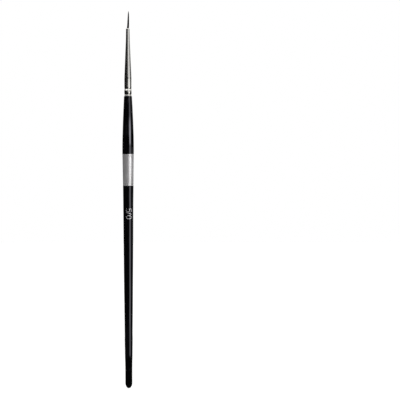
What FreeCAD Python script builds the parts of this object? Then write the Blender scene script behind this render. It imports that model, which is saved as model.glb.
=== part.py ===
import FreeCAD, Part
import math
import os

# A fine detail brush (round, size 5/0), standing tip up.
# Millimetres. Z runs along the brush; the origin is the lowest point of the tail end, on the axis.
# From the tail up: lacquered wooden handle, crimped metal ferrule, pointed tuft.
# Every piece is round about Z, except the strands of the tuft.

# --- Handle: turned wood under coats of lacquer. All diameters are over the lacquer. ---
handle_length = 139.3        # tail end to the shoulder that the ferrule stands on
tail_diameter = 3.34         # straight tail, which plugs into a stand
tail_length = 9.6            # tail end, dome included, to where the taper starts
tail_dome = 2.6              # rounded tail end, longer than a half ball
ankle_diameter = 3.60        # where the steep start of the taper eases off
ankle_rise = 6.1             # from the straight tail up to there
lower_diameter = 3.95        # low on the taper
lower_rise = 22.4            # from the straight tail up to there
middle_diameter = 4.56       # halfway between the low station and the waist
waist_diameter = 5.01        # where the taper turns into the belly
waist_drop = 46.0            # depth of that station below the shoulder
under_belly_diameter = 5.39
under_belly_drop = 33.0
belly_diameter = 5.55        # thickest place of the handle
belly_drop = 24.3
over_belly_diameter = 5.14
over_belly_drop = 15.2
neck_diameter = 4.50
neck_drop = 7.0
shoulder_diameter = 3.86
wood_round = 0.04            # rounding of the wood's shoulder, which the lacquer makes rounder

black_coat = 0.16            # thickness of the black lacquer
silver_coat = 0.12           # thickness of the silver band, which lies a little lower
band_length = 15.0           # silver band, between the two black stretches
band_drop = 27.7             # its top edge, below the shoulder

# --- Ferrule: seamless metal tube, drawn to a cone, crimped twice onto the handle. ---
ferrule_length = 32.4
ferrule_wall = 0.22
rear_diameter = 3.44         # straight rear stretch, over which a protecting tube slides
nose_diameter = 1.70         # under the lip
nose_foot_diameter = 1.90    # where the nose, which tapers less than the cone, grows out of it
nose_length = 5.6            # nose, mouth included
rear_length = 8.4            # straight rear, crimps included
blend_length = 1.4           # bends into and out of the cone, each side of their corner
lip_height = 1.1             # rounded end of the nose
lip_diameter = 1.22          # flat rim that is left at the mouth
mouth_bore = 1.04            # opening that the hair comes out of
mouth_land = 0.25            # straight depth of that opening

rim_height = 0.22            # crimps, heights from the ferrule's rear end
rim_diameter = 3.44
low_groove_height = 0.60
low_groove_depth = 0.13
bead_height = 1.80
bead_diameter = 3.54
high_groove_height = 3.30
high_groove_depth = 0.15
collar_height = 4.10         # where the upper groove has run out
groove_hold = 0.20           # share of a flank's height over which it stays at the groove's depth
bead_hold = 0.65             # the same at the bead's, the rim's and the collar's girth

# --- Handle tenon and its glue, inside the ferrule. ---
tenon_into_cone = 2.6        # how far the tenon reaches past the ferrule's straight rear
glue_film = 0.05
glue_short = 0.6             # the glue ends this far below the tenon's top

# --- Tuft: black filaments, their hidden roots, the binding and the epoxy that holds them. ---
hair_out = 8.3               # from the ferrule's mouth to the tip
tuft_diameter = 0.93         # where it leaves the mouth
strand_count = 360
strand_radius = 0.018        # of the circle round a strand's three corners
strand_tip_share = 0.25      # a strand's end, as a share of its own thickness
strand_bends = (0.80, 0.53)  # where a strand bends inwards, as shares of the visible hair
point_length = 1.9           # the outermost strands end this far below the innermost
straight_end = 2.2           # over this length at the tip the strands run parallel
slice_depth = 0.35           # top of the root slice, below the mouth
slice_thickness = 0.30
slice_clearance = 0.02       # between the root slice and the mouth's bore
root_into_cone = 3.8         # how far the hidden hair reaches past the nose, to its butt
root_clearance = 0.015       # between the roots and the nose's bore
binding_width = 0.70         # thread wound round the roots, near the butt
binding_thickness = 0.11
binding_rounding = 0.04      # of its two outer rims
binding_rise = 0.40          # butt to the binding's lower edge
epoxy_length = 5.0           # epoxy below the butt


# Heights and radii that follow from the sizes above.
shoulder_z = handle_length
shoulder_round = wood_round + black_coat
mouth_z = handle_length + ferrule_length
tip_z = mouth_z + hair_out
band_top_z = shoulder_z - band_drop
band_low_z = band_top_z - band_length
tenon_top_z = shoulder_z + rear_length + tenon_into_cone
glue_top_z = tenon_top_z - glue_short
nose_bore = nose_diameter / 2 - ferrule_wall
butt_z = mouth_z - nose_length - root_into_cone
binding_low_z = butt_z + binding_rise
slice_top_z = mouth_z - slice_depth
slice_low_z = slice_top_z - slice_thickness
slice_radius = mouth_bore / 2 - slice_clearance
bundle_radius = nose_bore - root_clearance
reach = belly_diameter       # radius that is clear of everything


# --- Outlines: lists of edges in the XZ plane. A point is (radius, height). ---

def at(point):
    """The point (radius, height) in the XZ plane."""
    return FreeCAD.Vector(point[0], 0, point[1])


def line(start, end):
    return Part.LineSegment(at(start), at(end)).toShape()


def bezier(*points):
    curve = Part.BezierCurve()
    curve.setPoles([at(point) for point in points])
    return curve.toShape()


def swell(start, end, hold_start=0.5, hold_end=0.5):
    """A smooth step from one radius to another, upright at both ends.
    hold_start and hold_end are the shares of the height over which it clings to each end."""
    height = end[1] - start[1]
    return bezier(
        start,
        (start[0], start[1] + hold_start * height),
        (end[0], end[1] - hold_end * height),
        end,
    )


def bend(before, corner, after, length):
    """Curve that rounds a corner, starting and ending at a length from it: start, end, edge."""
    into = (at(corner) - at(before)).normalize()
    out = (at(after) - at(corner)).normalize()
    start = at(corner) - into * length
    end = at(corner) + out * length
    start_point = (start.x, start.z)
    end_point = (end.x, end.z)
    return start_point, end_point, bezier(start_point, corner, end_point)


def quarter_oval(level_end, upright_end):
    """Quarter of an ellipse, level at its first end and upright at its last."""
    pull = 4 / 3 * (math.sqrt(2) - 1)
    width = upright_end[0] - level_end[0]
    height = upright_end[1] - level_end[1]
    return bezier(
        level_end,
        (level_end[0] + pull * width, level_end[1]),
        (upright_end[0], upright_end[1] - pull * height),
        upright_end,
    )


def turned(edges):
    """Solid of revolution of a closed outline."""
    face = Part.Face(Part.Wire(edges))
    return face.revolve(FreeCAD.Vector(0, 0, 0), FreeCAD.Vector(0, 0, 1), 360)


def turned_from_axis(edges):
    """Solid of revolution of an outline that starts and ends on the axis."""
    low = edges[0].Vertexes[0].Point
    high = edges[-1].Vertexes[-1].Point
    return turned(edges + [Part.LineSegment(high, low).toShape()])


def cylinder(radius, low, high):
    return Part.makeCylinder(radius, high - low, FreeCAD.Vector(0, 0, low))


def only(shape):
    """The one solid that a boolean leaves."""
    return shape.Solids[0]


# --- Handle ---

def handle_stations():
    """Diameters and heights of the turned handle, from the tail's straight part to the shoulder."""
    lower_z = tail_length + lower_rise
    waist_z = shoulder_z - waist_drop
    return [
        (tail_diameter, tail_length),
        (ankle_diameter, tail_length + ankle_rise),
        (lower_diameter, lower_z),
        (middle_diameter, (lower_z + waist_z) / 2),
        (waist_diameter, waist_z),
        (under_belly_diameter, shoulder_z - under_belly_drop),
        (belly_diameter, shoulder_z - belly_drop),
        (over_belly_diameter, shoulder_z - over_belly_drop),
        (neck_diameter, shoulder_z - neck_drop),
        (shoulder_diameter, shoulder_z - shoulder_round),
    ]


def handle_blank(inset):
    """The whole handle without its tenon, with its surface moved inwards by inset."""
    stations = [(diameter / 2 - inset, height) for diameter, height in handle_stations()]
    tail_side = (stations[0][0], tail_dome)
    shoulder_side = stations[-1]
    shoulder_flat = (shoulder_diameter / 2 - shoulder_round, shoulder_z - inset)
    side = Part.BSplineCurve()
    side.interpolate(
        Points=[at(station) for station in stations],
        InitialTangent=at(stations[1]) - at(stations[0]),
        FinalTangent=at(stations[-1]) - at(stations[-2]),
    )
    return turned_from_axis([
        quarter_oval((0, inset), tail_side),
        line(tail_side, stations[0]),
        side.toShape(),
        quarter_oval(shoulder_flat, shoulder_side),
        line(shoulder_flat, (0, shoulder_z - inset)),
    ])


# --- Ferrule ---

def ferrule_side(inset):
    """Outline of the ferrule's side from its rear end up to where the lip starts,
    moved inwards by inset: rim, two crimped grooves with a bead between them, straight rear,
    cone and nose. Returns its edges."""
    base = shoulder_z
    rear = rear_diameter / 2 - inset
    nose = nose_diameter / 2 - inset
    nose_foot = nose_foot_diameter / 2 - inset
    rim_end = (rim_diameter / 2 - inset, base)
    rim_edge = (rim_end[0], base + rim_height)
    low_groove = (rear - low_groove_depth, base + low_groove_height)
    bead = (bead_diameter / 2 - inset, base + bead_height)
    high_groove = (rear - high_groove_depth, base + high_groove_height)
    cone_low = (rear, base + rear_length)
    cone_high = (nose_foot, mouth_z - nose_length)
    nose_end = (nose, mouth_z - lip_height)
    collar = (rear, base + collar_height)
    low_start, low_end, low_bend = bend(collar, cone_low, cone_high, blend_length)
    high_start, high_end, high_bend = bend(cone_low, cone_high, nose_end, blend_length)
    return [
        line(rim_end, rim_edge),
        swell(rim_edge, low_groove, bead_hold, groove_hold),
        swell(low_groove, bead, groove_hold, bead_hold),
        swell(bead, high_groove, bead_hold, groove_hold),
        swell(high_groove, collar, groove_hold, bead_hold),
        line(collar, low_start),
        low_bend,
        line(low_end, high_start),
        high_bend,
        line(high_end, nose_end),
    ]


def ferrule_blank():
    """The ferrule as if it were solid, with its rounded lip."""
    lip = (lip_diameter / 2, mouth_z)
    rounding = quarter_oval(lip, (nose_diameter / 2, mouth_z - lip_height))
    rear = line((0, shoulder_z), (rim_diameter / 2, shoulder_z))
    return turned_from_axis([rear] + ferrule_side(0) + [rounding, line(lip, (0, mouth_z))])


def ferrule_bore(inset):
    """What fills the ferrule's bore up to where the lip starts. With an inset over the wall's
    thickness it is thinner than the bore all round."""
    side = ferrule_side(inset)
    start = side[0].Vertexes[0].Point
    end = side[-1].Vertexes[-1].Point
    rear = line((0, shoulder_z), (start.x, start.z))
    return turned_from_axis([rear] + side + [line((end.x, end.z), (0, end.z))])


def lip_bore():
    """What fills the bore inside the lip: it narrows from the nose's bore to the mouth's."""
    low = (nose_bore, mouth_z - lip_height)
    land = (mouth_bore / 2, mouth_z - mouth_land)
    top = (mouth_bore / 2, mouth_z)
    return turned_from_axis([
        line((0, low[1]), low),
        swell(low, land),
        line(land, top),
        line(top, (0, mouth_z)),
    ])


def make_ferrule():
    return only(ferrule_blank().cut([ferrule_bore(ferrule_wall), lip_bore()]))


# --- Wood, glue and lacquer ---

def make_handle_core():
    """Turned wood: the handle's body under its coats, and the tenon that fills the ferrule's
    crimped rear."""
    tenon = ferrule_bore(ferrule_wall + glue_film).common(cylinder(reach, shoulder_z, tenon_top_z))
    foot_radius = rim_diameter / 2 - ferrule_wall - glue_film
    foot = cylinder(foot_radius, shoulder_z - 2 * black_coat, shoulder_z)
    return only(handle_blank(black_coat).fuse([foot, tenon]).removeSplitter())


def make_tenon_glue():
    """Film of glue between the tenon and the ferrule."""
    film = ferrule_bore(ferrule_wall).cut(ferrule_bore(ferrule_wall + glue_film))
    return only(film.common(cylinder(reach, shoulder_z, glue_top_z)))


def make_coat(core, thickness, low, high):
    """One coat on the handle from height low to high. Every coat lies on the same wood, so a
    thin one lies lower than a thick one."""
    skin = handle_blank(black_coat - thickness).cut(core)
    return only(skin.common(cylinder(reach, low, high)))


# --- Tuft ---

def make_hair_roots():
    """Filaments packed tight in the nose, as one bundle that narrows under the lip."""
    butt = (bundle_radius, butt_z)
    shoulder = (bundle_radius, mouth_z - 1.5 * lip_height)
    neck = (slice_radius, slice_low_z)
    return turned_from_axis([
        line((0, butt_z), butt),
        line(butt, shoulder),
        line(shoulder, neck),
        line(neck, (0, slice_low_z)),
    ])


def make_root_binding():
    """Thread wound round the bundle, as one flat ring with rounded rims."""
    outside = bundle_radius + binding_thickness
    low_inside = (bundle_radius, binding_low_z)
    high_inside = (bundle_radius, binding_low_z + binding_width)
    low_end = (outside - binding_rounding, low_inside[1])
    high_end = (outside - binding_rounding, high_inside[1])
    low_side = (outside, low_end[1] + binding_rounding)
    high_side = (outside, high_end[1] - binding_rounding)
    return turned([
        line(low_inside, low_end),
        quarter_oval(low_end, low_side),
        line(low_side, high_side),
        quarter_oval(high_end, high_side),
        line(high_end, high_inside),
        line(high_inside, low_inside),
    ])


def make_epoxy_plug(roots):
    """Epoxy that fills the bore behind the hair and grips its butt up to the binding."""
    fill = ferrule_bore(ferrule_wall).common(cylinder(reach, butt_z - epoxy_length, binding_low_z))
    return only(fill.cut(roots))


def tuft_share(depth):
    """Radius of the tuft at a depth below the tip, as a share of its radius at the mouth. The
    outline is a paraboloid: its cross-section grows evenly with the depth. Over the straight
    end the strands keep their places, and the point comes from their uneven ends."""
    return math.sqrt(min(max(depth, straight_end), hair_out) / hair_out)


def strand_section(centre, turn, radius, depth):
    """Corners of a strand's section at a depth below the tip. centre and radius are those at the
    mouth, and both shrink by the tuft's share."""
    share = tuft_share(depth)
    corners = []
    for corner in range(3):
        angle = turn + corner * 2 * math.pi / 3
        x = share * (centre[0] + radius * math.cos(angle))
        y = share * (centre[1] + radius * math.sin(angle))
        corners.append(FreeCAD.Vector(x, y, tip_z - depth))
    return corners


def flat_face(corners):
    return Part.Face(Part.makePolygon(corners + [corners[0]]))


def strand(centre, turn, end_depth):
    """One filament of three flat sides, rooted in the slice. Its sections shrink together with
    their distance from the axis, so its sides stay flat and no two filaments meet."""
    root_depth = hair_out + slice_depth + slice_thickness / 2
    bend_depths = [share * hair_out for share in strand_bends]
    rings = [
        strand_section(centre, turn, strand_radius, depth)
        for depth in [root_depth] + bend_depths + [straight_end]
    ]
    rings.append(strand_section(centre, turn, strand_radius * strand_tip_share, end_depth))
    faces = [flat_face(rings[0][::-1]), flat_face(rings[-1])]
    for low, high in zip(rings, rings[1:]):
        for side in range(3):
            after = (side + 1) % 3
            faces.append(flat_face([low[side], low[after], high[after], high[side]]))
    return Part.Solid(Part.Shell(faces))


def make_hair_tuft():
    """Strands in a sunflower spiral on a thin slice of their roots, each with a corner facing
    out. The inner ones reach furthest, which draws the tuft to a point."""
    spread = tuft_diameter / 2 - strand_radius
    golden_angle = math.pi * (3 - math.sqrt(5))
    strands = []
    for number in range(strand_count):
        outward = math.sqrt((number + 0.5) / strand_count)
        angle = number * golden_angle
        centre = (spread * outward * math.cos(angle), spread * outward * math.sin(angle))
        strands.append(strand(centre, angle, point_length * number / strand_count))
    root_slice = cylinder(slice_radius, slice_low_z, slice_top_z)
    return only(root_slice.fuse(strands))


def make_parts():
    core = make_handle_core()
    roots = make_hair_roots()
    return {
        "handle_core": core,
        "lower_lacquer": make_coat(core, black_coat, 0, band_low_z),
        "silver_band": make_coat(core, silver_coat, band_low_z, band_top_z),
        "upper_lacquer": make_coat(core, black_coat, band_top_z, shoulder_z),
        "ferrule": make_ferrule(),
        "tenon_glue": make_tenon_glue(),
        "epoxy_plug": make_epoxy_plug(roots),
        "root_binding": make_root_binding(),
        "hair_roots": roots,
        "hair_tuft": make_hair_tuft(),
    }


os.makedirs("parts", exist_ok=True)
for name, solid in make_parts().items():
    solid.exportStep(os.path.join("parts", name + ".step"))
    print(name, "valid", solid.isValid(), "volume", round(solid.Volume, 3), "mm3")
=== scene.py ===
import math
import bpy
import numpy as np
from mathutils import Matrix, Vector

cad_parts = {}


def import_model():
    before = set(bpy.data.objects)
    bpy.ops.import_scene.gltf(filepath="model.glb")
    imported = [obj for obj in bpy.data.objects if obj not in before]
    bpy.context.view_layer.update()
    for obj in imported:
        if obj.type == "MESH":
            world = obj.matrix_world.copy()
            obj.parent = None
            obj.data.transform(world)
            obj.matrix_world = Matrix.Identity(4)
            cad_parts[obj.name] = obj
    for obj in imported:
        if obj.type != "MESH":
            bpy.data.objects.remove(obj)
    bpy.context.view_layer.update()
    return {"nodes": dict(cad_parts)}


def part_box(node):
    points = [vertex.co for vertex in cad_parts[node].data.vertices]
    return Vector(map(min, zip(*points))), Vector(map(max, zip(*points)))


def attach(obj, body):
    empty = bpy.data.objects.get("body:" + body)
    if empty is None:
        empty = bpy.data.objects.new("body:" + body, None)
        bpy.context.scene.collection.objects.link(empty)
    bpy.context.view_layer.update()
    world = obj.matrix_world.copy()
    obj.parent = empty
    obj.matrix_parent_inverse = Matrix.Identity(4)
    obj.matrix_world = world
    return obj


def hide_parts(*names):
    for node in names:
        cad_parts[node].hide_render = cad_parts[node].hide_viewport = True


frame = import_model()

# Looks of a fine detail brush, standing tip up round the Z axis.
# Sizes are in millimetres, and heights are above the tail end. MM makes them metres.
MM = 0.001
rng = np.random.default_rng(5)


def corner_z(node, corner):
    """Height in millimetres of a node's lowest (0) or highest (1) corner."""
    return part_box(node)[corner].z / MM


BAND_LOW = corner_z("silver_band", 0)
BAND_TOP = corner_z("silver_band", 1)
SHOULDER = corner_z("ferrule", 0)
MOUTH = corner_z("ferrule", 1)
TIP = corner_z("hair_tuft", 1)
FRONT = -math.pi / 2         # angle round Z of the side that the size number faces


# --- Meshes ---

def new_piece(name, points, faces, nodes, material):
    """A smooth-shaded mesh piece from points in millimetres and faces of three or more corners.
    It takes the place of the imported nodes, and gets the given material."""
    mesh = bpy.data.meshes.new(name)
    mesh.from_pydata((points * MM).tolist(), [], faces)
    mesh.polygons.foreach_set("use_smooth", np.ones(len(mesh.polygons), bool))
    mesh.materials.append(material)
    mesh.update()
    piece = bpy.data.objects.new(name, mesh)
    bpy.context.scene.collection.objects.link(piece)
    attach(piece, "root")
    if nodes:
        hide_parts(*nodes)
    return piece


def add_values(piece, name, values):
    """One number a point, for the material to read."""
    attribute = piece.data.attributes.new(name, "FLOAT", "POINT")
    attribute.data.foreach_set("value", values.astype(np.float32))


def ring_faces(rows, columns, closed_rows=False, first=0):
    """Quads between rings of points. Ring i is row i of a grid, and its columns close on
    themselves. With closed_rows the last ring joins the first."""
    low = np.arange(rows if closed_rows else rows - 1)
    high = (low + 1) % rows
    column = np.arange(columns)
    after = (column + 1) % columns
    corners = [
        low[:, None] * columns + column,
        low[:, None] * columns + after,
        high[:, None] * columns + after,
        high[:, None] * columns + column,
    ]
    return (np.stack(corners, axis=-1).reshape(-1, 4) + first).tolist()


def fan_faces(pole, first, columns, facing_down):
    """Triangles between a pole and the ring of points that starts at first."""
    column = np.arange(columns)
    ring = first + np.stack([column, (column + 1) % columns], axis=-1)
    if facing_down:
        ring = ring[:, ::-1]
    return np.insert(ring, 0, pole, axis=1).tolist()


def turned_points(radius, height, angle):
    """Points on rings round Z: radius and height are rows by columns, angle is one a column."""
    level = np.broadcast_to(height, radius.shape)
    return np.stack([radius * np.cos(angle), radius * np.sin(angle), level], axis=-1)


def round_the_axis(columns):
    """Angles of a ring's points."""
    return np.arange(columns) * 2 * math.pi / columns


# --- Outlines: rows of (radius, height) ---

def line(start, end, steps):
    """Evenly spaced points of a straight line."""
    return np.linspace(start, end, steps)


def bezier(poles, steps):
    """Points of a Bezier curve: each pole weighted by its Bernstein polynomial."""
    t = np.linspace(0, 1, steps)[:, None]
    degree = len(poles) - 1
    weights = [math.comb(degree, k) * t ** k * (1 - t) ** (degree - k) for k in range(degree + 1)]
    return sum(weight * np.array(pole) for weight, pole in zip(weights, poles))


def quarter_oval(level_end, upright_end, steps):
    """Quarter of an ellipse, level at its first end and upright at its last: across as the sine
    of a quarter turn, and up as one minus its cosine."""
    turn = np.linspace(0, math.pi / 2, steps)[:, None]
    start, end = np.array(level_end), np.array(upright_end)
    across, up = np.array([1, 0]), np.array([0, 1])
    return start + (end - start) * (across * np.sin(turn) + up * (1 - np.cos(turn)))


def swell(start, end, hold_start, hold_end, steps):
    """A smooth step from one radius to another: a cubic Bezier curve, upright at both ends.
    hold_start and hold_end are the shares of the height over which it clings to each end."""
    height = end[1] - start[1]
    low_pole = (start[0], start[1] + hold_start * height)
    high_pole = (end[0], end[1] - hold_end * height)
    return bezier([start, low_pole, high_pole, end], steps)


def join(*curves):
    """Curves laid end to end, with the shared ends once."""
    return np.concatenate([curves[0]] + [curve[1:] for curve in curves[1:]])


def smooth_curve(stations, step):
    """A curve through stations of (radius, height), with points about a step apart: a cubic in
    each span, whose slope at a station is a weighted mean of the spans beside it."""
    stations = np.array(stations)
    height = stations[:, 1]
    slope = np.gradient(stations[:, 0], height)
    z = np.linspace(height[0], height[-1], round((height[-1] - height[0]) / step))
    span = np.clip(np.searchsorted(height, z, side="right") - 1, 0, len(height) - 2)
    length = height[span + 1] - height[span]
    t = (z - height[span]) / length
    radius = (
        (1 + 2 * t) * (1 - t) ** 2 * stations[span, 0] + t * (1 - t) ** 2 * length * slope[span]
        + t ** 2 * (3 - 2 * t) * stations[span + 1, 0]
        - t ** 2 * (1 - t) * length * slope[span + 1]
    )
    return np.stack([radius, z], axis=1)


def offset_inwards(outline, depth):
    """The outline moved towards the axis by depth, square to itself."""
    along = np.gradient(outline, axis=0)
    along /= np.linalg.norm(along, axis=1)[:, None]
    moved = outline + depth * np.stack([-along[:, 1], along[:, 0]], axis=1)
    moved[:, 0] = np.maximum(moved[:, 0], 0)
    return moved


# --- The handle's shape, over its lacquer ---

TAIL_RADIUS = 1.67
TAIL_DOME = 2.6              # height of the rounded tail end
HANDLE_STATIONS = [          # radius and height, from the tail's straight part to the shoulder
    (TAIL_RADIUS, 9.6),
    (1.800, 15.7),
    (1.975, 32.0),
    (2.280, 62.65),
    (2.505, 93.3),
    (2.695, 106.3),
    (2.775, 115.0),
    (2.570, 124.1),
    (2.250, 132.3),
    (1.930, 139.1),
]
SHOULDER_ROUND = 0.20        # rounding of the edge where the handle meets the ferrule
ROW_STEP = 0.50              # between rows of points up the handle
COLUMNS = 128                # points round it
UNEVEN_COAT = 0.011          # depth of the lobes and ripples of a dipped coat
BLACK_COAT = 0.12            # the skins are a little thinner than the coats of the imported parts,
SILVER_COAT = 0.08           # so none of them touches the wood
SILVER_DROP = 0.04           # how much lower the silver lies than the black
RIM_ROUNDING = 0.045         # of a coat's edge
CRISP_EDGE = 0.02            # between the last two rows of points, so a coat's edge shades crisply
EDGE_FADE = 3.0              # an uneven edge moves the rows this far from it

side = smooth_curve(HANDLE_STATIONS, ROW_STEP)


def handle_radius(height):
    """Radius of the lacquered handle at a height, straight between the rows of its side."""
    return np.interp(height, side[:, 1], side[:, 0])


def side_between(low, high, drop=0.0):
    """The handle's side from height low to high, drop deeper than the black lacquer."""
    middle = side[(side[:, 1] > low + ROW_STEP / 4) & (side[:, 1] < high - ROW_STEP / 4)]
    end_heights = np.array([low, low + CRISP_EDGE, high - CRISP_EDGE, high])
    ends = np.stack([handle_radius(end_heights), end_heights], axis=1)
    return np.concatenate([ends[:2], middle, ends[2:]]) - np.array([drop, 0])


def rounded_rim(outline, rounding, steps=5):
    """The outline with its high end bent inwards as a quarter circle."""
    radius, top = outline[-1]
    kept = outline[outline[:, 1] < top - rounding]
    arc = quarter_oval((radius - rounding, top), (radius, top - rounding), steps)
    return np.concatenate([kept, arc[::-1]])


def rounded_foot(outline, rounding, steps=5):
    """The outline with its low end bent inwards as a quarter circle."""
    radius, low = outline[0]
    kept = outline[outline[:, 1] > low + rounding]
    arc = quarter_oval((radius - rounding, low), (radius, low + rounding), steps)
    return np.concatenate([arc, kept])


def band_low_edge(angle):
    """How far the silver band's low edge lies above its mean height: one slow wave that dips
    right of the front, and a small quick one."""
    return -0.08 * np.cos(angle - FRONT - 0.5) + 0.03 * np.sin(5 * angle + 1.2)


def band_top_edge(angle):
    """How far its top edge lies above its mean height, as two waves too, but straighter."""
    return 0.05 * np.cos(angle - FRONT - 0.9) + 0.025 * np.sin(4 * angle + 0.4)


def level_edge(angle):
    """An edge square to the axis: no rise at any angle."""
    return 0 * angle


def dipped(angle, height):
    """Unevenness of a coat that was dipped and dried upright: two sine waves round the handle,
    which turn slowly with the height, and a shallower one along it."""
    lobes = 0.55 * np.sin(3 * angle + 0.21 * height) + 0.35 * np.sin(5 * angle - 0.33 * height + 2)
    ripple = 0.30 * np.sin(0.9 * height + 1.5 * np.sin(2 * angle))
    return UNEVEN_COAT * (lobes + ripple)


def coat(name, outline, thickness, node, material, low_edge, top_edge):
    """A coat as a closed skin: the outline and its inner offset, turned round the axis. Its ends
    rise by low_edge and top_edge, which die away as a square over EDGE_FADE. The outer side also
    has the dipped coat's unevenness, and none of it at the axis. An outline that starts on the
    axis gets a pole on both sides."""
    profile = np.concatenate([outline, offset_inwards(outline, thickness)[::-1]])
    poles = profile[[0, -1]]
    outer = np.arange(len(profile))[:, None] < len(outline)
    has_poles = outline[0, 0] == 0
    if has_poles:
        profile, outer = profile[1:-1], outer[1:-1]
    angle = round_the_axis(COLUMNS)
    radius, height = profile[:, :1], profile[:, 1:]
    near_low = np.clip(1 - (height - outline[0, 1]) / EDGE_FADE, 0, 1) ** 2
    near_top = np.clip(1 - (outline[-1, 1] - height) / EDGE_FADE, 0, 1) ** 2
    height = height + near_low * low_edge(angle) + near_top * top_edge(angle)
    radius = radius + outer * np.clip(radius, 0, 1) * dipped(angle, height)
    points = turned_points(radius, height, angle).reshape(-1, 3)
    faces = ring_faces(len(profile), COLUMNS, closed_rows=not has_poles)
    if has_poles:
        pole = len(points)
        points = np.concatenate([points, np.insert(poles, 1, 0, axis=1)])
        faces += fan_faces(pole, 0, COLUMNS, True)
        faces += fan_faces(pole + 1, pole - COLUMNS, COLUMNS, False)
    return new_piece(name, points, faces, [node], material)


# --- The ferrule's shape ---

FERRULE_COLUMNS = 160
FERRULE_WALL = 0.22
REAR = 1.72                  # radius of its straight rear
NOSE = 0.85                  # radius under the lip
NOSE_FOOT = 0.95             # radius where the nose grows out of the cone
LIP = 0.71                   # radius of the flat rim at the mouth
LIP_HEIGHT = 0.40            # height over which the nose rounds to that rim
MOUTH_BORE = 0.52            # radius of the bore at the mouth
MOUTH_LAND = 0.25            # length of that narrow bore
MOUTH_ROUNDING = 0.03        # of the bore's edge
REAR_BORE = 1.31             # radius of the bore at the rear, clear of the grooves
REAR_CHAMFER = 0.03          # across the rear end's edge
REAR_CHAMFER_HEIGHT = 0.04
NOSE_LENGTH = 5.6
REAR_LENGTH = 8.4
BLEND_LENGTH = 0.7           # a bend starts and ends this far from its corner
CRIMPS = [                   # radius, height above the rear end, and hold on each side of it
    (1.72, 0.22, 0.65),      # rear end
    (1.58, 0.60, 0.20),      # groove
    (1.77, 1.80, 0.65),      # bead
    (1.56, 3.46, 0.18),      # groove
    (1.72, 4.14, 0.65),      # collar
]
GROOVES = CRIMPS[1::2]
BEAD = CRIMPS[2]
JAWS = 8                     # a crimping tool's jaws, each leaving its facet in the grooves
JAW_RIDGE = 0.04             # height of the ridges between the facets
JAW_REACH = 0.34             # how far above and below a groove they go
BEAD_REACH = 0.9             # how far the bead's unevenness goes
BEAD_UNEVENNESS = 0.008


def bend(before, corner, after, length, steps):
    """Quadratic Bezier curve that rounds a corner, starting and ending at a length from it."""
    before, corner, after = np.array(before), np.array(corner), np.array(after)
    start = corner + (before - corner) / np.linalg.norm(before - corner) * length
    end = corner + (after - corner) / np.linalg.norm(after - corner) * length
    return bezier([start, corner, end], steps)


def ferrule_side():
    """Outer side of the ferrule from its rear end to the flat rim at its mouth: a chamfer, a
    swell from each crimp to the next, straight sides joined by bends, and a quarter oval."""
    end_radius, end_height = CRIMPS[0][:2]
    chamfer_top = (end_radius, SHOULDER + REAR_CHAMFER_HEIGHT)
    crimps = [
        line((REAR - REAR_CHAMFER, SHOULDER), chamfer_top, 3),
        line(chamfer_top, (end_radius, SHOULDER + end_height), 5),
    ]
    for (low_r, low_h, low_hold), (high_r, high_h, high_hold) in zip(CRIMPS, CRIMPS[1:]):
        start, end = (low_r, SHOULDER + low_h), (high_r, SHOULDER + high_h)
        crimps.append(swell(start, end, low_hold, high_hold, 22))
    collar = crimps[-1][-1]
    cone_low = (REAR, SHOULDER + REAR_LENGTH)
    cone_high = (NOSE_FOOT, MOUTH - NOSE_LENGTH)
    nose_end = (NOSE, MOUTH - LIP_HEIGHT)
    low_bend = bend(collar, cone_low, cone_high, BLEND_LENGTH, 10)
    high_bend = bend(cone_low, cone_high, nose_end, BLEND_LENGTH, 10)
    return join(
        *crimps,
        line(collar, low_bend[0], 8),
        low_bend,
        line(low_bend[-1], high_bend[0], 40),
        high_bend,
        line(high_bend[-1], nose_end, 10),
        quarter_oval((LIP, MOUTH), nose_end, 14)[::-1],
    )


def ferrule_bore():
    """Inner side of the ferrule from its mouth down to its rear end, without the crimps: a
    rounded edge, the narrow bore, a swell to the nose, and straight sides."""
    edge = (MOUTH_BORE, MOUTH - MOUTH_ROUNDING)
    land = (MOUTH_BORE, MOUTH - MOUTH_LAND)
    nose = (NOSE - FERRULE_WALL, MOUTH - LIP_HEIGHT)
    nose_foot = (NOSE_FOOT - FERRULE_WALL, MOUTH - NOSE_LENGTH)
    rear_top = (REAR_BORE, SHOULDER + REAR_LENGTH)
    return join(
        quarter_oval((MOUTH_BORE + MOUTH_ROUNDING, MOUTH), edge, 4),
        line(edge, land, 3),
        swell(land, nose, 0.5, 0.5, 8),
        line(nose, nose_foot, 4),
        line(nose_foot, rear_top, 6),
        line(rear_top, (REAR_BORE, SHOULDER), 4),
    )


def jaw_marks(angle, height):
    """Relief of the crimps: a high power of a cosine gives low ridges between the jaws' facets,
    which fade out above and below each groove as a bell curve. Two waves round the axis make the
    bead between the grooves slightly uneven."""
    ridge = np.abs(np.cos(angle * JAWS / 2)) ** 12 * (1 + 0.4 * np.sin(3 * angle + 1))
    rise = height - SHOULDER
    relief = 0
    for groove in GROOVES:
        relief = relief + JAW_RIDGE * ridge * np.exp(-((rise - groove[1]) / JAW_REACH) ** 2)
    on_bead = np.exp(-((rise - BEAD[1]) / BEAD_REACH) ** 2)
    uneven = np.sin(5 * angle + 2.1 * rise) + 0.6 * np.sin(11 * angle - 3.7 * rise + 1)
    return relief + BEAD_UNEVENNESS * on_bead * uneven


def make_ferrule(material):
    """The ferrule as one closed skin: up its outer side, over the lip and down its bore."""
    outer = ferrule_side()
    profile = np.concatenate([outer, ferrule_bore()])
    angle = round_the_axis(FERRULE_COLUMNS)
    height = profile[:, 1:]
    outside = np.arange(len(profile))[:, None] < len(outer)
    radius = profile[:, :1] + outside * jaw_marks(angle, height)
    points = turned_points(radius, height, angle).reshape(-1, 3)
    faces = ring_faces(len(profile), FERRULE_COLUMNS, closed_rows=True)
    return new_piece("ferrule_shell", points, faces, ["ferrule"], material)


# --- The tuft ---

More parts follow.
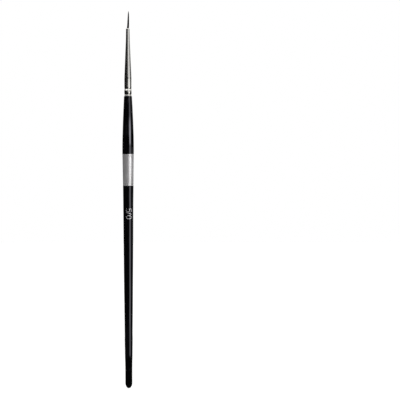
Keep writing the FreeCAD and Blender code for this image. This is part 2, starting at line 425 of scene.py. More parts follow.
STRANDS = 720
STRAND_SIDES = 6
STRAND_RINGS = 9
RING_PLACES = np.linspace(0, 1, STRAND_RINGS)  # from a strand's root to its end
STRAND_RADIUS = 0.0150       # at the mouth
TUFT_RADIUS = 0.51           # at the mouth
POINT_DEPTH = 0.42           # the tuft is this far from a perfect point at its tip
TAPER = 0.43                 # the tuft's width goes as the depth below its tip to this power
ENDS = 1.5                   # the outermost strands end this far below the tip
ROOT_DEPTH = 0.45            # roots below the mouth
TUFT_LEAN = 0.35             # the point leans this far to +X
SWAY = 0.010                 # how far a strand waves from its path
SLICE_RADIUS = 0.50          # of the disc that the roots are fused to, just inside the mouth
SLICE_DEPTHS = (0.65, 0.35)  # its faces lie this far below the mouth
SLICE_COLUMNS = 32
GOLDEN_ANGLE = math.pi * (3 - math.sqrt(5))


def strand_paths():
    """Where the strands run: x, y, height and thickness of each strand's rings, from its root to
    its end. A ring's place is the strand's place in a sunflower spiral times the tuft's share
    there, which goes as a power of the depth below the tip. A sine wave sways it, and the whole
    tuft leans as the square root of the height. The inner strands reach furthest."""
    number = np.arange(STRANDS)
    outward = np.sqrt((number + 0.5) / STRANDS)
    hair_out = TIP - MOUTH
    root = hair_out + ROOT_DEPTH
    ends = ENDS * outward ** 2 * rng.uniform(0.75, 1.0, STRANDS) + rng.uniform(0, 0.12, STRANDS)
    ends[0] = 0
    depth = root + (ends[:, None] - root) * RING_PLACES ** 0.85
    share = ((np.minimum(depth, hair_out) + POINT_DEPTH) / (hair_out + POINT_DEPTH)) ** TAPER
    spread = (TUFT_RADIUS - STRAND_RADIUS) * outward[:, None] * share
    sway = SWAY * share * np.sin(rng.uniform(0, 6, (STRANDS, 1)) + depth * 1.1)
    turn = number[:, None] * GOLDEN_ANGLE + rng.normal(0, 0.02, (STRANDS, 1)) * (1 - share)
    lean = TUFT_LEAN * (1 - depth / root) ** 0.5
    x = spread * np.cos(turn) + lean + sway * np.sin(turn)
    y = spread * np.sin(turn) - sway * np.cos(turn)
    thickness = STRAND_RADIUS * share * np.clip(1.15 * (1 - RING_PLACES ** 5), 0.12, 1)
    return x, y, TIP - depth, thickness


def make_tuft(material):
    """The tuft: each strand is a tube of rings round its path, with a cap on both ends, and a
    disc holds their roots. The strands' shades are drawn at random."""
    path_x, path_y, height, thickness = strand_paths()
    around = round_the_axis(STRAND_SIDES)
    x = path_x[..., None] + thickness[..., None] * np.cos(around)
    y = path_y[..., None] + thickness[..., None] * np.sin(around)
    z = np.broadcast_to(height[..., None], x.shape)
    points = np.stack([x, y, z], axis=-1).reshape(-1, 3)
    per_strand = STRAND_RINGS * STRAND_SIDES
    first = np.arange(STRANDS)[:, None] * per_strand
    tube = np.array(ring_faces(STRAND_RINGS, STRAND_SIDES))
    quads = (first[..., None] + tube).reshape(-1, 4)
    sides = np.arange(STRAND_SIDES)
    low_caps = first + sides[::-1]
    high_caps = first + per_strand - STRAND_SIDES + sides
    slice_points, slice_faces = root_slice(len(points))
    points = np.concatenate([points, slice_points])
    faces = quads.tolist() + low_caps.tolist() + high_caps.tolist() + slice_faces
    tuft = new_piece("tuft_strands", points, faces, ["hair_tuft"], material)
    shade = np.repeat(rng.uniform(0, 1, STRANDS), per_strand)
    reach = np.tile(np.repeat(RING_PLACES, STRAND_SIDES), STRANDS)
    add_values(tuft, "strand_shade", np.append(shade, np.full(len(slice_points), 0.5)))
    add_values(tuft, "strand_reach", np.append(reach, np.zeros(len(slice_points))))
    return tuft


def root_slice(first):
    """Points and faces of the disc that the roots are fused to: two rings and two caps. Its
    points are counted from first."""
    height = MOUTH - np.array(SLICE_DEPTHS)[:, None]
    radius = np.full((2, SLICE_COLUMNS), SLICE_RADIUS)
    points = turned_points(radius, height, round_the_axis(SLICE_COLUMNS)).reshape(-1, 3)
    low_ring = first + np.arange(SLICE_COLUMNS)
    faces = ring_faces(2, SLICE_COLUMNS, first=first)
    faces += [low_ring[::-1].tolist(), (low_ring + SLICE_COLUMNS).tolist()]
    return points, faces


# --- Foil: the size number, stamped on the lacquer ---

FOIL_STANDS = 0.010          # above the lacquer
FOIL_SINKS = 0.030           # below it, so the stamp has no gap under it
STROKE = 0.30                # width of a stroke
STROKE_POINTS = 5            # from its left to its right edge
STROKE_STEP = 0.06           # between its cross-sections
END_CORNER = 0.07            # rounding of the corners at a stroke's end
NUMBER_HEIGHT = 2.66         # of its digits
NUMBER_TOP = BAND_LOW - 11.08    # height at which the size number starts, below the band
NUMBER_TURN = math.radians(8.5)  # how far right of the front its middle line stands


def stroke_points(path, width):
    """A stroke's cross-sections: each is a row of points square to the path, from the left edge
    to the right. Both ends are narrowed by a quarter circle, unless they meet. Also tells
    whether they do."""
    closed = np.allclose(path[0], path[-1])
    reach = np.concatenate([[0], np.cumsum(np.hypot(*np.diff(path, axis=0).T))])
    corner = END_CORNER * (1 - np.cos(np.linspace(0, math.pi / 2, STROKE_POINTS)))
    if closed:
        stops = reach[:-1]
    else:
        count = round(reach[-1] / STROKE_STEP) + 2
        inside = np.linspace(END_CORNER, reach[-1] - END_CORNER, count)
        stops = np.concatenate([corner, inside[1:-1], (reach[-1] - corner)[::-1]])
    centre = np.stack([np.interp(stops, reach, path[:, axis]) for axis in (0, 1)], axis=1)
    if closed:
        along = np.roll(centre, -1, axis=0) - np.roll(centre, 1, axis=0)
        half = np.full(len(centre), width / 2)
    else:
        along = np.gradient(centre, axis=0)
        from_end = np.clip(np.minimum(stops, reach[-1] - stops) / END_CORNER, 0, 1)
        half = width / 2 - END_CORNER * (1 - np.sqrt(1 - (1 - from_end) ** 2))
    along /= np.linalg.norm(along, axis=1)[:, None]
    square = np.stack([-along[:, 1], along[:, 0]], axis=1)
    across = np.linspace(-1, 1, STROKE_POINTS)
    return centre[:, None] + (square * half[:, None])[:, None] * across[:, None], closed


def arc(centre, radii, start, end, steps):
    """Points of an elliptic arc, with angles in degrees."""
    turn = np.radians(np.linspace(start, end, steps))
    circle = np.stack([np.cos(turn), np.sin(turn)], axis=1)
    return np.array(centre) + np.array(radii) * circle


def stamped(name, strokes, middle, top, material):
    """Strokes of foil wrapped round the handle. A stroke's points are (down the handle, round
    it), in millimetres from height top and from the angle middle. Each cross-section goes back
    along the foil's top and forth along its underside."""
    columns = 2 * STROKE_POINTS
    rise = np.repeat([FOIL_STANDS, -FOIL_SINKS], STROKE_POINTS)
    points, faces = [], []
    for path in strokes:
        flat, closed = stroke_points(path, STROKE)
        section = np.concatenate([flat[:, ::-1], flat], axis=1)
        height = top - section[..., 0]
        ground = handle_radius(height)
        angle = middle + section[..., 1] / ground
        radius = ground + dipped(angle, height) + rise
        strip = np.stack([radius * np.cos(angle), radius * np.sin(angle), height], axis=-1)
        first = sum(len(part) for part in points)
        faces += ring_faces(len(flat), columns, closed_rows=closed, first=first)
        if not closed:
            cap = first + np.arange(columns)
            faces += [cap[::-1].tolist(), (cap + (len(flat) - 1) * columns).tolist()]
        points.append(strip.reshape(-1, 3))
    points = np.concatenate(points)
    return new_piece(name, points, faces, [], material)


def size_strokes():
    """Strokes of 5/0, reading towards the tail: x runs along the number and y up its digits. The
    five is straight lines, two small Bezier corners and an elliptic bowl."""
    half = NUMBER_HEIGHT / 2
    bowl_height, bowl_width = 0.80, 0.83
    flag_start, stem_top, stem_foot = (0.16, half), (0.03, half - 0.13), (0.0, 0.26)
    five = join(
        line((1.45, half), flag_start, 8),
        bezier([flag_start, (0.04, half), stem_top], 6),
        line(stem_top, stem_foot, 8),
        bezier([stem_foot, (0.02, 0.12), (0.15, 0.20)], 6),
        arc((0.62, bowl_height - half), (bowl_width, bowl_height), 125, -150, 30),
    )
    slash = line((1.70, -half), (2.66, half), 12)
    zero = arc((4.00, 0), (0.75, half), 0, 360, 48)
    return [five, slash, zero]


# --- Materials ---

def maths(tree, operation, first, second):
    """Output of a Math node. first and second are numbers or outputs."""
    node = tree.nodes.new("ShaderNodeMath")
    node.operation = operation
    for socket, value in zip(node.inputs, (first, second)):
        if isinstance(value, (int, float)):
            socket.default_value = value
        else:
            tree.links.new(value, socket)
    return node.outputs["Value"]


def ramp(tree, value, low, high, out_low=0.0, out_high=1.0):
    """value from low..high to out_low..out_high, clamped, with smooth ends. Each may be an
    output."""
    node = tree.nodes.new("ShaderNodeMapRange")
    node.interpolation_type = "SMOOTHSTEP"
    limits = {"From Min": low, "From Max": high, "To Min": out_low, "To Max": out_high}
    for name, limit in limits.items():
        if isinstance(limit, (int, float)):
            node.inputs[name].default_value = limit
        else:
            tree.links.new(limit, node.inputs[name])
    tree.links.new(value, node.inputs["Value"])
    return node.outputs["Result"]


def blend(tree, mask, first, second):
    """Colour first where the mask is 0, second where it is 1. A colour is an output or three
    numbers."""
    node = tree.nodes.new("ShaderNodeMix")
    node.data_type = "RGBA"
    tree.links.new(mask, node.inputs["Factor"])
    for socket, colour in ((node.inputs["A"], first), (node.inputs["B"], second)):
        if isinstance(colour, tuple):
            socket.default_value = (*colour, 1)
        else:
            tree.links.new(colour, socket)
    return node.outputs["Result"]


def new_group(name, inputs, outputs):
    """An empty shader node group, with its given inputs and the results to link. inputs is
    {name: value}, where the value tells the socket's kind: a number, three numbers for a vector,
    or four for a colour. outputs is {name: kind}."""
    tree = bpy.data.node_groups.new(name, "ShaderNodeTree")
    for title, value in inputs.items():
        size = len(value) if isinstance(value, tuple) else 1
        kind = {1: "NodeSocketFloat", 3: "NodeSocketVector", 4: "NodeSocketColor"}[size]
        socket = tree.interface.new_socket(title, in_out="INPUT", socket_type=kind)
        socket.default_value = value
    for title, kind in outputs.items():
        tree.interface.new_socket(title, in_out="OUTPUT", socket_type="NodeSocket" + kind)
    given = tree.nodes.new("NodeGroupInput").outputs
    result = tree.nodes.new("NodeGroupOutput").inputs
    return tree, given, result


def use(tree, group, **values):
    """Place a group in a material. A name's _ stands for a space."""
    node = tree.nodes.new("ShaderNodeGroup")
    node.node_tree = group
    for name, value in values.items():
        socket = node.inputs[name.replace("_", " ")]
        if isinstance(value, bpy.types.NodeSocket):
            tree.links.new(value, socket)
        else:
            socket.default_value = value
    return node.outputs


def make_patches():
    """Soft patches: noise of Scale cycles a metre along each axis, cut between Low and High."""
    inputs = {"Place": (0.0, 0.0, 0.0), "Scale": (100.0, 100.0, 100.0), "Detail": 2.0,
              "Low": 0.4, "High": 0.6}
    tree, given, result = new_group("patches", inputs, {"Mask": "Float", "Height": "Float"})
    stretch = tree.nodes.new("ShaderNodeVectorMath")
    stretch.operation = "MULTIPLY"
    tree.links.new(given["Place"], stretch.inputs[0])
    tree.links.new(given["Scale"], stretch.inputs[1])
    texture = tree.nodes.new("ShaderNodeTexNoise")
    texture.inputs["Scale"].default_value = 1
    tree.links.new(stretch.outputs["Vector"], texture.inputs["Vector"])
    tree.links.new(given["Detail"], texture.inputs["Detail"])
    mask = ramp(tree, texture.outputs["Fac"], given["Low"], given["High"])
    tree.links.new(mask, result["Mask"])
    tree.links.new(texture.outputs["Fac"], result["Height"])
    return tree


def make_handling(patches):
    """Traces of handling on a glossy surface: smudges, and hairline scratches that run mostly
    along the brush. Roughness is what they add, and Smudge is where the smudges are."""
    inputs = {"Place": (0.0, 0.0, 0.0), "Smudges": 0.03, "Scratches": 0.06}
    outputs = {"Smudge": "Float", "Roughness": "Float"}
    tree, given, result = new_group("handling", inputs, outputs)
    smudge = use(tree, patches, Place=given["Place"], Scale=(320, 320, 200), Detail=3.0,
                 Low=0.45, High=0.75)["Mask"]
    scratch = use(tree, patches, Place=given["Place"], Scale=(9000, 9000, 260), Detail=2.0,
                  Low=0.66, High=0.74)["Mask"]
    added = maths(tree, "ADD", maths(tree, "MULTIPLY", smudge, given["Smudges"]),
                  maths(tree, "MULTIPLY", scratch, given["Scratches"]))
    tree.links.new(smudge, result["Smudge"])
    tree.links.new(added, result["Roughness"])
    return tree


def make_grain(patches):
    """Grain in two tones, stretched by Scale, for the pieces inside."""
    inputs = {"Place": (0.0, 0.0, 0.0), "Scale": (900.0, 900.0, 900.0),
              "Dark": (0.1, 0.1, 0.1, 1.0), "Light": (0.8, 0.8, 0.8, 1.0), "Smoothest": 0.3}
    outputs = {"Colour": "Color", "Roughness": "Float", "Height": "Float"}
    tree, given, result = new_group("grain", inputs, outputs)
    grain = use(tree, patches, Place=given["Place"], Scale=given["Scale"], Detail=4.0,
                Low=0.35, High=0.65)
    tree.links.new(blend(tree, grain["Mask"], given["Dark"], given["Light"]), result["Colour"])
    rougher = maths(tree, "MULTIPLY", grain["Mask"], 0.15)
    roughness = maths(tree, "ADD", given["Smoothest"], rougher)
    tree.links.new(roughness, result["Roughness"])
    tree.links.new(grain["Height"], result["Height"])
    return tree


PATCHES = make_patches()
HANDLING = make_handling(PATCHES)
GRAIN = make_grain(PATCHES)


def new_material(name, **constants):
    """A material, its node tree, its Principled shader with these constants, and the object's
    own coordinates. A constant's _ stands for a space."""
    material = bpy.data.materials.new(name)
    material.use_nodes = True
    tree = material.node_tree
    shader = tree.nodes["Principled BSDF"]
    for title, value in constants.items():
        shader.inputs[title.replace("_", " ")].default_value = value
    place = tree.nodes.new("ShaderNodeTexCoord").outputs["Object"]
    return material, tree, shader, place


def link(tree, shader, **outputs):
    """Link outputs to the shader's inputs. A name's _ stands for a space."""
    for title, output in outputs.items():
        tree.links.new(output, shader.inputs[title.replace("_", " ")])


def bump(tree, height, depth):
    """Normal of a relief of the given height, depth millimetres deep."""
    node = tree.nodes.new("ShaderNodeBump")
    node.inputs["Distance"].default_value = depth * MM
    tree.links.new(height, node.inputs["Height"])
    return node.outputs["Normal"]


def black_lacquer():
    """Glossy black lacquer with faint waviness, fine dust and traces of handling."""
    material, tree, shader, place = new_material(
        "black_lacquer", Specular_IOR_Level=0.75, Specular_Tint=(0.87, 0.86, 1.0, 1),
        Coat_Weight=0.45, Coat_Roughness=0.03)
    handled = use(tree, HANDLING, Place=place, Smudges=0.03, Scratches=0.06)
    dust = use(tree, PATCHES, Place=place, Scale=(7000, 7000, 7000), Detail=1.0,
               Low=0.74, High=0.80)
    waves = use(tree, PATCHES, Place=place, Scale=(900, 900, 500))
    colour = blend(tree, handled["Smudge"], (0.0008, 0.0008, 0.0011), (0.0020, 0.0020, 0.0026))
    colour = blend(tree, maths(tree, "MULTIPLY", dust["Mask"], 0.15), colour, (0.10, 0.10, 0.11))
    roughness = maths(tree, "ADD", handled["Roughness"], 0.04)
    link(tree, shader, Base_Color=colour, Roughness=roughness,
         Normal=bump(tree, waves["Height"], 0.002))
    return material


def silver_lacquer():
    """Matt silver lacquer: metal flakes in a clear coat, with faint streaks along the brush."""
    material, tree, shader, place = new_material(
        "silver_lacquer", Metallic=0.8, Coat_Weight=0.35, Coat_Roughness=0.15)
    handled = use(tree, HANDLING, Place=place, Smudges=0.03, Scratches=0.03)
    mottle = use(tree, PATCHES, Place=place, Scale=(420, 420, 240), Detail=4.0,
                 Low=0.35, High=0.70)
    streak = use(tree, PATCHES, Place=place, Scale=(3800, 3800, 110), Detail=3.0,
                 Low=0.45, High=0.75)
    flake = use(tree, PATCHES, Place=place, Scale=(16000, 16000, 16000), Detail=1.0,
                Low=0.62, High=0.78)
    colour = blend(tree, mottle["Mask"], (0.80, 0.785, 0.79), (0.89, 0.88, 0.89))
    colour = blend(tree, maths(tree, "MULTIPLY", streak["Mask"], 0.35), colour, (0.70, 0.69, 0.70))
    colour = blend(tree, flake["Mask"], colour, (0.93, 0.93, 0.93))
    roughness = maths(tree, "ADD", handled["Roughness"],
                      ramp(tree, mottle["Height"], 0.3, 0.75, 0.37, 0.41))
    link(tree, shader, Base_Color=colour, Roughness=roughness,
         Normal=bump(tree, flake["Height"], 0.002))
    return material


def nickel_plate():
    """Polished nickel on drawn brass: fine drawing lines, traces of handling, and brown patina low
    in the crimps, which also stands in for a brownish reflection there: a painted reflection."""
    material, tree, shader, place = new_material("nickel_plate", Metallic=1.0)
    handled = use(tree, HANDLING, Place=place, Smudges=0.04, Scratches=0.05)
    drawn = use(tree, PATCHES, Place=place, Scale=(14000, 14000, 90), Detail=3.0,
                Low=0.35, High=0.70)
    haze = use(tree, PATCHES, Place=place, Scale=(500, 500, 160), Detail=3.0,
               Low=0.40, High=0.70)
    patina_and_painted_reflection = use(tree, PATCHES, Place=place, Scale=(900, 900, 1300), Detail=4.0,
                  Low=0.42, High=0.68)
    axes = tree.nodes.new("ShaderNodeSeparateXYZ")
    tree.links.new(place, axes.inputs["Vector"])
    fade_start, fade_end = (SHOULDER + 2.2) * MM, (SHOULDER + 4.2) * MM
    crimped = ramp(tree, axes.outputs["Z"], fade_start, fade_end, 0.6, 0.05)
    # Painted reflection: this brown, strongest low in the crimps, is patina and also stands in for
    # a brownish reflection there.
    brown = maths(tree, "MULTIPLY", patina_and_painted_reflection["Mask"], crimped)
    colour = blend(tree, haze["Mask"], (0.68, 0.675, 0.645), (0.62, 0.61, 0.58))
    colour = blend(tree, brown, colour, (0.34, 0.27, 0.19))
    roughness = maths(tree, "ADD", handled["Roughness"],
                      ramp(tree, drawn["Height"], 0.35, 0.7, 0.10, 0.16))
    link(tree, shader, Base_Color=colour, Roughness=roughness,
         Normal=bump(tree, drawn["Height"], 0.0004))
    return material


def filament():
    """Black synthetic filament: strands in slightly different blacks, paler at their tips."""
    material, tree, shader, place = new_material("filament", Specular_IOR_Level=0.25)
    values = {}
    for name in ("strand_shade", "strand_reach"):
        node = tree.nodes.new("ShaderNodeAttribute")
        node.attribute_name = name
        values[name] = node.outputs["Fac"]
    streak = use(tree, PATCHES, Place=place, Scale=(30000, 30000, 700))
    colour = blend(tree, values["strand_shade"], (0.004, 0.004, 0.004), (0.016, 0.014, 0.012))
    tip = ramp(tree, values["strand_reach"], 0.75, 1.0, 0.0, 0.5)
    paler = maths(tree, "MULTIPLY", tip, streak["Mask"])
    colour = blend(tree, paler, colour, (0.045, 0.038, 0.032))
    roughness = ramp(tree, values["strand_shade"], 0, 1, 0.45, 0.60)
    link(tree, shader, Base_Color=colour, Roughness=roughness)
    return material


def foil():
    """Stamped silver foil, thin and worn in spots."""
    material, tree, shader, place = new_material("foil", Metallic=0.85)
    handled = use(tree, HANDLING, Place=place, Smudges=0.05, Scratches=0.05)
    worn = use(tree, PATCHES, Place=place, Scale=(3800, 3800, 3800), Detail=4.0,
               Low=0.56, High=0.70)
    colour = blend(tree, worn["Mask"], (0.80, 0.80, 0.81), (0.33, 0.33, 0.34))
    roughness = maths(tree, "ADD", handled["Roughness"],
                      ramp(tree, worn["Mask"], 0, 1, 0.30, 0.50))
    link(tree, shader, Base_Color=colour, Roughness=roughness)
    return material


INNER_PIECES = {             # material, dark and light tone, grain a metre, lowest roughness
    "handle_core": ("birch", (0.50, 0.33, 0.19), (0.66, 0.47, 0.30), (2500, 2500, 120), 0.5),
    "tenon_glue": ("wood_glue", (0.72, 0.62, 0.42), (0.80, 0.72, 0.55), (900, 900, 900), 0.35),
    "epoxy_plug": ("epoxy", (0.62, 0.50, 0.26), (0.74, 0.64, 0.40), (700, 700, 700), 0.15),
    "root_binding": ("thread", (0.55, 0.52, 0.46), (0.78, 0.75, 0.68), (300, 300, 9000), 0.7),
    "hair_roots": ("root_bundle", (0.004, 0.004, 0.004), (0.03, 0.026, 0.022),
                   (22000, 22000, 300), 0.4),
}


def inner(name, dark, light, stretch, smoothest):
    """A hidden piece's material: two tones mixed by a stretched grain."""
    material, tree, shader, place = new_material(name)
    grain = use(tree, GRAIN, Place=place, Scale=stretch, Dark=(*dark, 1), Light=(*light, 1),
                Smoothest=smoothest)
    link(tree, shader, Base_Color=grain["Colour"], Roughness=grain["Roughness"],
         Normal=bump(tree, grain["Height"], 0.02))
    return material


def paint_node(node, material):
    """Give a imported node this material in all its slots."""
    for slot in frame["nodes"][node].material_slots:
        slot.material = material


# --- Studio ---

SURROUND_DISTANCE = 450.0
SURROUND_HEIGHTS = [         # rows of points, closest where the panels change
    0.1, 40, 80, 96, 102, 110, 118, 122, 126, 130, 134, 142, 150, 155, 159, 163, 167, 169, 171,
    175, 179, 183, 190, 198, 203, 208, 213, 218, 226, 240, 255, 270, 285, 300, 320, 340, 360,
    460, 520, 900,
]
ROUND_TURNS = np.linspace(-180, 180, 120, endpoint=False)  # degrees from the front
FAINT = 0.012                # brightness of the studio's dark parts
REAR_BOX = 0.8               # brightness of the softbox behind
FLOOR_RADII = [30, 90, 130, 138, 146, 154, 162, 200, 300, 450]
DARK_FLOOR = 147             # radius inside which the floor stays dark
STRIP_DISTANCE = 160.0
STRIP_HEIGHTS = [118, 122, 124, 126, 128, 132, 136, 140, 143, 145, 147, 149, 152]
STRIP_TURNS = np.linspace(-30, 150, 91)


def soft_span(value, low, high, fade):
    """1 from low to high and 0 outside, with edges fade wide, each a smooth cubic step."""
    rise = np.clip((value - low) / fade + 0.5, 0, 1)
    fall = np.clip((high - value) / fade + 0.5, 0, 1)
    return (rise * rise * (3 - 2 * rise)) * (fall * fall * (3 - 2 * fall))


def surround_light(angle, height):
    """Brightness of the studio round the brush, as its surfaces reflect it: dark on the left, a
    faint fill in front, a wide softbox on the right from start to end, grey from there to the
    back, and a second softbox behind. Above them is a bright ceiling, which starts lower towards
    the back and dims again higher up. A panel adds only what it is brighter than the ceiling.
    Edges and levels run straight from one given height to the next. Where uneven isn't 0, the
    softbox brightens from its left edge to its right. angle is in degrees from the front, + to
    the right."""
    start = np.interp(height, [135, 152, 159, 175, 181, 198, 206], [24, 22, 4, 4, 24, 24, 5])
    end = np.interp(height, [150, 165, 172, 198, 206, 218, 235], [61, 63, 59, 58, 72, 62, 55])
    box = np.interp(height, [124, 140, 150, 159, 175, 181], [1.28, 1.0, 1.0, 1.5, 1.5, 1.0])
    front = np.interp(height, [155, 160, 175, 181, 200, 208, 214, 220, 228],
                      [0, 0.09, 0.12, 0, 0, 0.36, 0.18, 0.09, 0.09])
    front_low = np.interp(height, [156, 160, 166, 170], [-24, -58, -52, -24])
    right = np.interp(height, [96, 102, 122, 130, 135, 155, 160, 168, 171, 199, 206],
                      [0.01, 0.16, 0.16, 0.01, 0.01, 0.04, 0.42, 0.42, 0.06, 0.06, 0.42])
    ceiling = np.interp(np.abs(angle), [10, 60, 120], [300, 275, 240])
    top = FAINT + 1.6 * np.clip((height - ceiling) / 50, 0, 1)
    top = top - 0.9 * np.clip((height - 400) / 120, 0, 1)
    fade = np.interp(height, [140, 165], [11, 6])
    uneven = np.interp(height, [175, 181, 198, 204], [0, 0.5, 0.5, 0])
    box = box * (1 + uneven * np.clip(2 * (angle - start) / (end - start) - 1, -1, 1))
    return (
        top + np.maximum(front - top, 0) * soft_span(angle, front_low, start, 10)
        + np.maximum(box - top, 0) * soft_span(angle, start, end, fade)
        + np.maximum(right - top, 0) * soft_span(angle, end, 150, fade)
        + np.maximum(REAR_BOX - top, 0) * soft_span(np.mod(angle, 360), 142, 198, 16)
    )


def strip_light(angle, height):
    """What a narrow lamp near the brush adds in front of the softbox, beside the handle's belly.
    angle is in degrees from the front."""
    level = np.interp(height, [123, 126, 138, 145, 149], [0, 2.4, 2.4, 0.8, 0])
    start = np.interp(height, [138, 145], [26, 32])
    return level * soft_span(angle, start, 58, 7)


def past_strip(angle, height):
    """Share of the surround's light that passes the narrow lamp's sheet: little of it on the
    left and right, where black flags stand, and all of it between them."""
    flags = np.interp(height, [122, 126, 145, 148], [0, 0.85, 0.85, 0])
    return 1 - flags * (1 - soft_span(angle, 25, 61, 8))


def floor_light(angle, radius):
    """Brightness of the floor as the brush reflects it: dark near the brush, and bright only
    further out on the right."""
    level = 0.01 + 0.85 * soft_span(angle, 20, 68, 12)
    return FAINT + level * soft_span(radius, DARK_FLOOR, 600, 20)


def glowing(name, points, faces, light, passing=None):
    """A sheet that glows as light says at each point, seen only in reflections. passing is the
    share of the light from behind it that it lets through."""
    mesh = bpy.data.meshes.new(name)
    mesh.from_pydata((points * MM).tolist(), [], faces)
    piece = bpy.data.objects.new(name, mesh)
    bpy.context.scene.collection.objects.link(piece)
    add_values(piece, "glow", light)
    material = bpy.data.materials.new(name)
    material.use_nodes = True
    tree = material.node_tree
    tree.nodes.remove(tree.nodes["Principled BSDF"])
    glow = tree.nodes.new("ShaderNodeEmission")
    strength = tree.nodes.new("ShaderNodeAttribute")
    strength.attribute_name = "glow"
    tree.links.new(strength.outputs["Fac"], glow.inputs["Strength"])
    lit = glow.outputs["Emission"]
    if passing is not None:
        add_values(piece, "passing", passing)
        share = tree.nodes.new("ShaderNodeAttribute")
        share.attribute_name = "passing"
        behind = tree.nodes.new("ShaderNodeBsdfTransparent")
        tree.links.new(share.outputs["Color"], behind.inputs["Color"])
        both = tree.nodes.new("ShaderNodeAddShader")
        tree.links.new(lit, both.inputs[0])
        tree.links.new(behind.outputs["BSDF"], both.inputs[1])
        lit = both.outputs["Shader"]
    tree.links.new(lit, tree.nodes["Material Output"].inputs["Surface"])
    mesh.materials.append(material)
    hide_but_in_reflections(piece)


def glowing_wall(name, turns, heights, distance, light, passing=None):
    """An upright wall on a circle round the brush. turns are its columns' degrees from the
    front. light and passing are functions of the angle and the height."""
    level, turn = np.meshgrid(heights, turns, indexing="ij")
    points = turned_points(np.full(level.shape, distance), level, FRONT + np.radians(turns))
    faces = ring_faces(*level.shape)
    whole_turn = turns[-1] - turns[0] > 350
    if not whole_turn:
        faces = [face for face in faces if abs(face[1] - face[0]) == 1]
    share = passing(turn, level).ravel() if passing else None
    glowing(name, points.reshape(-1, 3), faces, light(turn, level).ravel(), share)


def glowing_floor(turns):
    """A disc just above the floor, in rings round the brush's foot with a pole in the middle."""
    radius, turn = np.meshgrid(FLOOR_RADII, turns, indexing="ij")
    points = turned_points(radius, SURROUND_HEIGHTS[0], FRONT + np.radians(turns)).reshape(-1, 3)
    faces = ring_faces(*radius.shape) + fan_faces(len(points), 0, len(turns), False)
    light = np.append(floor_light(turn, radius).ravel(), floor_light(0, 0))
    points = np.append(points, [[0, 0, SURROUND_HEIGHTS[0]]], axis=0)
    glowing("floor_light", points, faces, light)


def hide_but_in_reflections(piece):
    """Leave a part of the studio to glossy rays alone."""
    piece.visible_camera = False
    piece.visible_shadow = False
    piece.visible_diffuse = False
    piece.visible_transmission = False


def seen_directly(tree):
    """1 for a ray that shows the background: straight, mirrored or through glass."""
    ray = tree.nodes.new("ShaderNodeLightPath").outputs
    seen = maths(tree, "MAXIMUM", ray["Is Camera Ray"], ray["Is Glossy Ray"])
    return maths(tree, "MAXIMUM", seen, ray["Is Transmission Ray"])


def world():
    """A white backdrop, which lights the brush less brightly than it shows."""
    backdrop = bpy.data.worlds.new("studio")
    bpy.context.scene.world = backdrop
    backdrop.use_nodes = True
    tree = backdrop.node_tree
    background = tree.nodes["Background"]
    background.inputs["Color"].default_value = (1, 1, 1, 1)
    strength = ramp(tree, seen_directly(tree), 0, 1, 0.62, 1.0)
    tree.links.new(strength, background.inputs["Strength"])


def key_lamp():
    """The softbox as a lamp, for what isn't mirrored, and for the shadow on the floor. It stands
    in front on the right, and looks down at the brush."""
    lamp = bpy.data.lights.new("key", "AREA")
    lamp.size = 350 * MM
    lamp.energy = 0.9
    piece = bpy.data.objects.new("key", lamp)
    bpy.context.scene.collection.objects.link(piece)
    piece.location = (320 * MM, -320 * MM, 300 * MM)
    piece.rotation_euler = (math.radians(65), 0, math.radians(45))
    piece.visible_glossy = False
    piece.visible_camera = False


def floor():
    """A wide pale floor that keeps the brush's shadow and shows as white."""
    mesh = bpy.data.meshes.new("floor")
    reach = 4000 * MM
    corners = [(-reach, -reach, 0), (reach, -reach, 0), (reach, reach, 0), (-reach, reach, 0)]
    mesh.from_pydata(corners, [], [(0, 1, 2, 3)])
    piece = bpy.data.objects.new("floor", mesh)
    bpy.context.scene.collection.objects.link(piece)
    material = bpy.data.materials.new("floor")
    material.use_nodes = True
    tree = material.node_tree
    shader = tree.nodes["Principled BSDF"]
    shader.inputs["Base Color"].default_value = (0.8, 0.8, 0.8, 1)
    shader.inputs["Roughness"].default_value = 0.9
    shader.inputs["Emission Color"].default_value = (1, 1, 1, 1)
    glow = ramp(tree, seen_directly(tree), 0, 1, 0.0, 0.56)
    tree.links.new(glow, shader.inputs["Emission Strength"])
    mesh.materials.append(material)


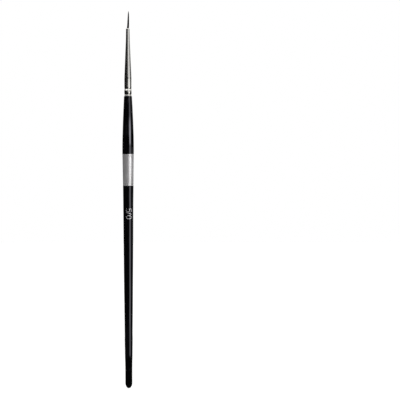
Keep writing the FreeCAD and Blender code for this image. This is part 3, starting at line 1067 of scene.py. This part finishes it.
def camera():
    """A level camera at the height of the brush's middle, rolled a little. It stands to the
    right of the brush, which so stands left of the middle of the view."""
    distance, seen_height = 1200.0, 190.8
    right_of_brush, height, roll = 34.2, 89.65, 0.17
    lens = bpy.data.cameras.new("camera")
    lens.sensor_width = 36
    lens.lens = lens.sensor_width * distance / seen_height
    view = bpy.data.objects.new("camera", lens)
    bpy.context.scene.collection.objects.link(view)
    view.location = (right_of_brush * MM, -distance * MM, height * MM)
    view.rotation_euler = (math.pi / 2, math.radians(roll), 0)
    bpy.context.scene.camera = view


# --- Building ---

black = black_lacquer()
silver = silver_lacquer()
tail = join(
    quarter_oval((0.0, 0.0), (TAIL_RADIUS, TAIL_DOME), 30),
    line((TAIL_RADIUS, TAIL_DOME), HANDLE_STATIONS[0], 20),
)
lower = np.concatenate([tail[:-1], side_between(HANDLE_STATIONS[0][1], BAND_LOW)])
coat("lower_lacquer_skin", rounded_rim(lower, RIM_ROUNDING), BLACK_COAT, "lower_lacquer",
     black, level_edge, band_low_edge)
coat("silver_band_skin", side_between(BAND_LOW, BAND_TOP, SILVER_DROP), SILVER_COAT,
     "silver_band", silver, band_low_edge, band_top_edge)
upper = rounded_foot(side_between(BAND_TOP, SHOULDER - SHOULDER_ROUND), RIM_ROUNDING)
shoulder_side = upper[-1]
shoulder_arc = quarter_oval((shoulder_side[0] - SHOULDER_ROUND, SHOULDER), shoulder_side, 10)[::-1]
shoulder_flat = line(shoulder_arc[-1], (REAR - FERRULE_WALL, SHOULDER), 4)
coat("upper_lacquer_skin", join(upper, shoulder_arc, shoulder_flat), BLACK_COAT, "upper_lacquer",
     black, band_top_edge, level_edge)
make_ferrule(nickel_plate())
make_tuft(filament())
stamped("size_number", size_strokes(), FRONT + NUMBER_TURN, NUMBER_TOP, foil())

for node, looks in INNER_PIECES.items():
    paint_node(node, inner(*looks))

camera()
world()
key_lamp()
floor()
glowing_wall("surround", ROUND_TURNS, SURROUND_HEIGHTS, SURROUND_DISTANCE, surround_light)
glowing_wall("strip", STRIP_TURNS, STRIP_HEIGHTS, STRIP_DISTANCE, strip_light, past_strip)
glowing_floor(ROUND_TURNS)

bpy.context.scene.view_settings.view_transform = "Standard"
